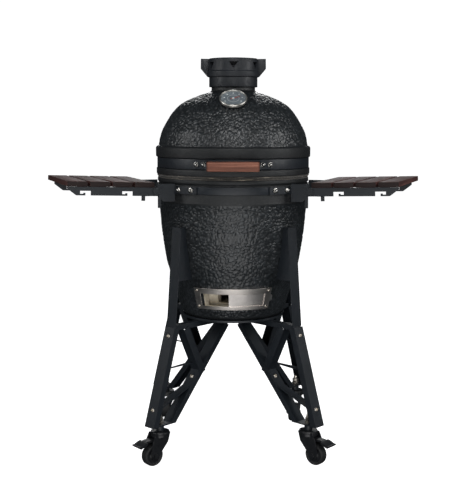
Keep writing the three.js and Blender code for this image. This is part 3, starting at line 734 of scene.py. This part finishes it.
ELEVATION = 53.5 * DEG
gauge = facing(at(0, -150.6, 1050.2), Vector((0, -math.cos(ELEVATION), math.sin(ELEVATION))))
bm = bmesh.new()
case = [(0, -58), (3.8, -58), (3.9, 1.2), (36, 2.6), (40.6, 4.6), (41.4, 7), (41.4, 12.2), (39.6, 15),
        (37.4, 14.6), (36.8, 9.6), (0, 9.6)]
revolve(bm, filleted(case, 1.0), gauge, 96)
piece("thermometer_bezel", bm, "lid", [BEZEL], "thermometer_case")
bm = bmesh.new()
revolve(bm, [(0, 9.8), (36.6, 9.8), (36.6, 10.5), (0, 10.5)], gauge, 72)
for k in range(7):
    angle = (-120 + 40 * k) * DEG
    spot = gauge @ Matrix.Translation((27 * math.sin(angle), 27 * math.cos(angle), 10.5))
    revolve(bm, [(0, 0), (2.3, 0), (2.1, 0.35), (0, 0.4)], spot, 12, 1)
for k in range(37):
    angle = (-135 + 7.5 * k) * DEG
    long = 3.4 if k % 6 == 0 else 1.9
    tick = gauge @ Matrix.Translation((0, 0, 10.45)) @ Matrix.Rotation(-angle, 4, "Z")
    mark = [(-0.28, 34.2 - long), (0.28, 34.2 - long), (0.28, 34.2), (-0.28, 34.2)]
    prism(bm, mark, 0.25, tick, material=1)
revolve(bm, [(16.8, 10.5), (17.6, 10.5), (17.6, 10.75), (16.8, 10.75), (16.8, 10.5)], gauge, 60, 1)
hand = gauge @ Matrix.Translation((0, 0, 11.3)) @ Matrix.Rotation(-62 * DEG, 4, "Z")
prism(bm, [(-1.5, -9), (1.5, -9), (1.1, 14), (0, 25), (-1.1, 14)], 0.7, hand, 0.15, 2)
revolve(bm, [(0, 10.5), (3.6, 10.5), (3.4, 12.6), (2.6, 13.4), (0, 13.5)], gauge, 20, 1)
piece("thermometer_face", bm, "lid", [DIAL, DIAL_MARK, NEEDLE], "thermometer_dial")

# ---------------------------------------------------------------- handle


def grained(bm, axes, origin, ends_at=None):
    """Stores where each point is along, across and through the wood, and which faces are end grain."""
    layer = bm.verts.layers.float_vector.new("grain")
    end = bm.verts.layers.float.new("end")
    for v in bm.verts:
        local = v.co - origin
        v[layer] = Vector([local.dot(a) for a in axes])
        along = abs((v.co - origin).dot(axes[0]))
        v[end] = 1.0 if ends_at and along > ends_at else 0.0


low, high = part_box("handle_grip")
bm = bmesh.new()
half_x = (high.x - low.x) / 2
mid = (low + high) / 2
half_y, half_z = (high.y - low.y) / 2, (high.z - low.z) / 2
steps = 30
section = filleted([(-half_y, -half_z), (half_y, -half_z), (half_y, half_z), (-half_y, half_z),
                    (-half_y, -half_z)], 0.0045, 5)[:-1]
rows = []
for i in range(steps + 1):
    t = i / steps
    x = -half_x + 2 * half_x * t
    edge = min(t, 1 - t) * 2 * half_x
    shrink = 0.0009 * max(0.0, 1 - edge / 0.0025) ** 2
    rows.append([
        bm.verts.new(mid + Vector((x, y - math.copysign(shrink, y), z - math.copysign(shrink, z))))
        for y, z in section
    ])
for a, b in zip(rows, rows[1:]):
    for k in range(len(section)):
        n = (k + 1) % len(section)
        bm.faces.new([a[k], a[n], b[n], b[k]]).smooth = True
bm.faces.new(rows[0][::-1])
bm.faces.new(rows[-1])
grained(bm, (Vector((1, 0, 0)), Vector((0, 1, 0)), Vector((0, 0, 1))), mid, half_x - 0.0001)
piece("handle_grip_wood", bm, "lid", [GRIP_WOOD], "handle_grip")

for side in ("left", "right"):
    refined(f"handle_bracket_{side}", BAND, 0.6)

PAD = 239.6
bm = bmesh.new()
for x in (86, 107.5):
    for sign in (-1, 1):
        azimuth = math.degrees(math.asin(sign * x / PAD))
        cap_nut(bm, radial(PAD - 0.2, azimuth, 866), 6.2)
for azimuth in (172, 176, 184, 188):
    cap_nut(bm, radial(PAD - 0.2, azimuth, 866), 5.5)
piece("lid_band_nuts", bm, "lid", [CHROME])
bm = bmesh.new()
for x in (124, 160):
    for sign in (-1, 1):
        azimuth = math.degrees(math.asin(sign * x / PAD))
        cap_nut(bm, radial(PAD - 0.2, azimuth, 789.5), 6.2)
for azimuth in (102, 109, 251, 258, 170, 175, 185, 190):
    cap_nut(bm, radial(PAD - 0.2, azimuth, 789.5), 6.0)
piece("base_band_nuts", bm, "grill", [CHROME])

# ---------------------------------------------------------------- draft door

refined("draft_frame", STAINLESS, 0.5)
refined("draft_door", DOOR_STEEL, 0.35)
bm = bmesh.new()
for azimuth in (-34.3, 34.3):
    for z in (438.5, 487.5):
        slope = Vector((math.sin(azimuth * DEG), -math.cos(azimuth * DEG), -CONE_SLOPE))
        button_head(bm, facing(around(cone_radius(z) + 6.6, azimuth, z), slope), 4.2)
piece("draft_frame_screws", bm, "grill", [ZINC])

# ---------------------------------------------------------------- inside

refined("charcoal_grate", CASTING, 0.8)
refined("cooking_grate", STAINLESS, 0.7)

# ---------------------------------------------------------------- hinge

for node in ("hinge_lower_bracket", "hinge_upper_bracket"):
    refined(node, STEEL, 0.5)
hinge = Vector(JOINTS["lid_hinge"]["pos_m"])
across = facing(hinge, Vector((1, 0, 0)))
bm = bmesh.new()
pin = [(0, -75), (7, -75), (8, -73.5), (8, -70), (5, -70)]
revolve(bm, filleted(pin + [(r, -x) for r, x in pin[::-1]], 0.6), across, 40)
piece("hinge_pin_steel", bm, "grill", [ZINC], "hinge_pin")
for sign, side in ((-1, "left"), (1, "right")):
    bm = bmesh.new()
    path = []
    turns = 9
    for k in range(turns * 24 + 1):
        t = k / 24
        angle = 2 * math.pi * t
        x = sign * (6 + 42 * t / turns)
        path.append(hinge + Vector((x, 8.6 * math.cos(angle), 8.6 * math.sin(angle))) * MM)
    tube(bm, path, 1.9 * MM)
    piece(f"hinge_spring_{side}_coil", bm, "grill", [ZINC], f"hinge_spring_{side}")

# ---------------------------------------------------------------- side tables

SLAT = Vector((59.4, 332, 15))
SLAT_PITCH = 65.8
FIRST_SLAT = 21
TABLE_TILT = 1.9 * DEG

for side in ("left", "right"):
    for end in ("front", "rear"):
        refined(f"table_{side}_arm_{end}", STEEL, 0.5)
        refined(f"table_{side}_bracket_{end}", STEEL, 0.5)
    joint = JOINTS[f"table_{side}_fold"]
    pivot = Vector(joint["pos_m"])
    inward = Vector(joint["axis"]) * (1 if side == "right" else -1)
    outward = Vector((inward.y, -inward.x, 0)) * (1 if side == "right" else -1)
    up = Vector((0, 0, 1)) * math.cos(TABLE_TILT) - outward * math.sin(TABLE_TILT)
    outward = outward * math.cos(TABLE_TILT) + Vector((0, 0, 1)) * math.sin(TABLE_TILT)
    for k in range(4):
        out = FIRST_SLAT + SLAT_PITCH * k + SLAT.x / 2
        origin = pivot + (outward * out + inward * (SLAT.y / 2 - 2.5) + up * (6.3 + SLAT.z / 2)) * MM
        place = Matrix((inward, outward, up)).transposed().to_4x4()
        place.translation = origin
        bm = bmesh.new()
        bmesh.ops.create_cube(bm, size=1)
        bmesh.ops.scale(bm, vec=(SLAT.y * MM, SLAT.x * MM, SLAT.z * MM), verts=bm.verts)
        bmesh.ops.bevel(bm, geom=list(bm.edges), offset=1.6 * MM, segments=3, profile=0.5, affect="EDGES")
        bmesh.ops.transform(bm, matrix=place, verts=bm.verts)
        for face in bm.faces:
            face.smooth = face.calc_area() < 4e-4
        shift = Vector((0.37 * k, 0.11 * k, 0.05 * k + (0.5 if side == "left" else 0)))
        grained(bm, (inward, outward, up), origin - shift)
        for v in bm.verts:
            v[bm.verts.layers.float["end"]] = 1.0 if abs((v.co - origin).dot(inward)) > 0.1652 else 0.0
        piece(f"table_{side}_slat_{k + 1}_wood", bm, f"table_{side}", [SLAT_WOOD],
              f"table_{side}_slat_{k + 1}")

# ---------------------------------------------------------------- stand

STAND_TURN = 1.5
KNEE_RADIUS = 269
KNEE_Z = 382.5
LEG_FLARE = 0.298
CORNERS = {"front_left": -135, "front_right": -45, "rear_right": 45, "rear_left": 135}
for node in ("cross_frame", "support_ring"):
    refined(node, STEEL, 0.6)

for corner, angle in CORNERS.items():
    refined(f"upper_leg_{corner}", STEEL, 0.7)
    refined(f"lower_leg_{corner}", STEEL, 0.6)
    turn = Matrix.Translation(at(0, 0, 0)) @ Matrix.Rotation((angle + STAND_TURN) * DEG, 4, "Z")
    outward = turn.to_3x3() @ Vector((1, 0, 0))

    def on_leg(rho, z):
        return turn @ Vector((rho * MM, 0, z * MM))

    bm = bmesh.new()
    slope = turn.to_3x3() @ Vector((1, 0, LEG_FLARE))
    for z in (358.5, 148):
        button_head(bm, facing(on_leg(KNEE_RADIUS + (KNEE_Z - z) * LEG_FLARE, z), slope), 7.0)
    brace_out = turn.to_3x3() @ Vector((0.7536, 0, 0.6574))
    button_head(bm, facing(on_leg(180.4, 220.1), brace_out), 7.0)
    stem = turn @ Matrix.Translation((0.310, 0, 0)) @ Matrix.Scale(MM, 4)
    hex_nut(bm, stem @ Matrix.Translation((0, 0, 103)), 10.4, 8)
    hex_nut(bm, stem @ Matrix.Translation((0, 0, 112.5)), 10.0, 8.5)
    revolve(bm, [(6.5, 121), (6.2, 126), (4.6, 130.5), (2, 132.6), (0, 133)], stem, 20)
    piece(f"leg_bolts_{corner}", bm, "grill", [ZINC])

    fork = f"fork_{corner}"
    refined(f"caster_fork_{corner}", CASTER, 0.7)
    swivel = Vector(JOINTS[f"swivel_{corner}"]["pos_m"])
    wheel = Vector(JOINTS[f"roll_{corner}"]["pos_m"])
    side_axis = Vector(JOINTS[f"roll_{corner}"]["axis"])
    roll = facing(wheel, side_axis)
    bm = bmesh.new()
    half = [(4.9, -14), (12, -13.6), (13.5, -11), (22.6, -10), (24.6, -13.6), (28.8, -13.2), (30.9, -9)]
    tread = half + [(r, -x) for r, x in half[::-1]] + half[:1]
    revolve(bm, filleted(tread, 1.1), roll, 72)
    for face in bm.faces:
        arm = face.calc_center_median() - wheel
        radius = arm - side_axis * arm.dot(side_axis)
        face.material_index = 0 if radius.length > 0.0236 else 1
    piece(f"wheel_{corner}_tyre", bm, f"wheel_{corner}", [TYRE, CASTER], f"caster_wheel_{corner}")
    bm = bmesh.new()
    for sign in (-1, 1):
        cap = facing(wheel + side_axis * sign * 19.4 * MM, side_axis * sign)
        hex_nut(bm, cap, 7.4, 4.2)
    race = Matrix.Translation((swivel.x, swivel.y, 0)) @ Matrix.Scale(MM, 4)
    rim = [(22, 98.6), (25.5, 98.6), (26.6, 97.4), (27.9, 96), (27.9, 92.5), (26, 91), (22, 91), (22, 98.6)]
    revolve(bm, filleted(rim, 0.7), race, 48)
    piece(f"caster_trim_{corner}", bm, fork, [CASTER])
    if f"caster_brake_{corner}" in frame["nodes"]:
        refined(f"caster_brake_{corner}", CASTER, 0.9)

# ---------------------------------------------------------------- stage

paper = Shader("paper", (0.8, 0.8, 0.8), 0.9)
cloud = paper.noise(paper.place(), 1.2, 2)
paper.color(paper.ramp(cloud, (0.3, (0.78, 0.78, 0.78)), (0.7, (0.82, 0.82, 0.82))))
paper.set("Emission Color", (1, 1, 1, 1))
paper.set("Emission Strength", 1.0)
ROOM = 11.0


def backdrop(name, profile):
    """Part of the plain white studio, which is seen but doesn't light the grill."""
    bm = bmesh.new()
    revolve(bm, profile, Matrix.Identity(4), 96)
    mesh = bpy.data.meshes.new(name)
    bm.to_mesh(mesh)
    bm.free()
    obj = bpy.data.objects.new(name, mesh)
    scene.collection.objects.link(obj)
    mesh.materials.append(paper.material)
    obj.visible_diffuse = False
    obj.visible_glossy = False
    obj.visible_shadow = False


backdrop("floor", [(0, 0), (ROOM, 0)])
wall = [(ROOM * math.cos(t * DEG), ROOM * math.sin(t * DEG)) for t in range(0, 90, 6)]
backdrop("studio", wall + [(0, ROOM)])

world = bpy.data.worlds.new("studio")
scene.world = world
world.use_nodes = True
nodes = world.node_tree.nodes
links = world.node_tree.links
direction = nodes.new("ShaderNodeTexCoord")
height = nodes.new("ShaderNodeSeparateXYZ")
links.new(direction.outputs["Generated"], height.inputs[0])
level = nodes.new("ShaderNodeMapRange")
for socket, value in (("From Min", -0.6), ("From Max", 0.7), ("To Min", 0.34), ("To Max", 0.58)):
    level.inputs[socket].default_value = value
links.new(height.outputs["Z"], level.inputs["Value"])
links.new(level.outputs["Result"], nodes["Background"].inputs["Strength"])
nodes["Background"].inputs["Color"].default_value = (0.082, 0.095, 0.104, 1)
scene.view_settings.view_transform = "Standard"


def softbox(name, position, target, width, height, power):
    light = bpy.data.lights.new(name, "AREA")
    light.shape = "RECTANGLE"
    light.size = width
    light.size_y = height
    light.energy = power
    lamp = bpy.data.objects.new(name, light)
    scene.collection.objects.link(lamp)
    lamp.location = position
    lamp.rotation_euler = (Vector(target) - Vector(position)).to_track_quat("-Z", "Y").to_euler()


softbox("key", (0.1, -2.7, 2.7), (0, 0, 0.75), 1.1, 0.9, 36)
softbox("floor_bounce", (0, -1.9, 0.02), (0, -0.2, 0.5), 1.8, 1.5, 17)
softbox("side_left", (-2.6, -1.0, 1.7), (0, 0, 0.7), 0.9, 1.8, 22)
softbox("side_right", (2.6, -1.0, 1.7), (0, 0, 0.7), 0.9, 1.8, 30)
softbox("back", (0, 2.8, 2.4), (0, 0, 0.7), 1.6, 1.0, 30)

camera_data = bpy.data.cameras.new("camera")
camera = bpy.data.objects.new("camera", camera_data)
scene.collection.objects.link(camera)
scene.camera = camera
SENSOR = 36
LENS = 78.8987
PITCH = 4.2 * DEG
camera_data.sensor_fit = "HORIZONTAL"
camera_data.sensor_width = SENSOR
camera_data.lens = LENS
camera_data.shift_x = -0.013656
camera_data.shift_y = LENS / SENSOR * math.tan(PITCH) - 0.279295
camera.location = (0, AXIS_Y - 3.1, 0.996 + LIFT * MM)
camera.rotation_euler = (math.pi / 2 - PITCH, -0.15 * DEG, 0)
camera_data.clip_end = 50
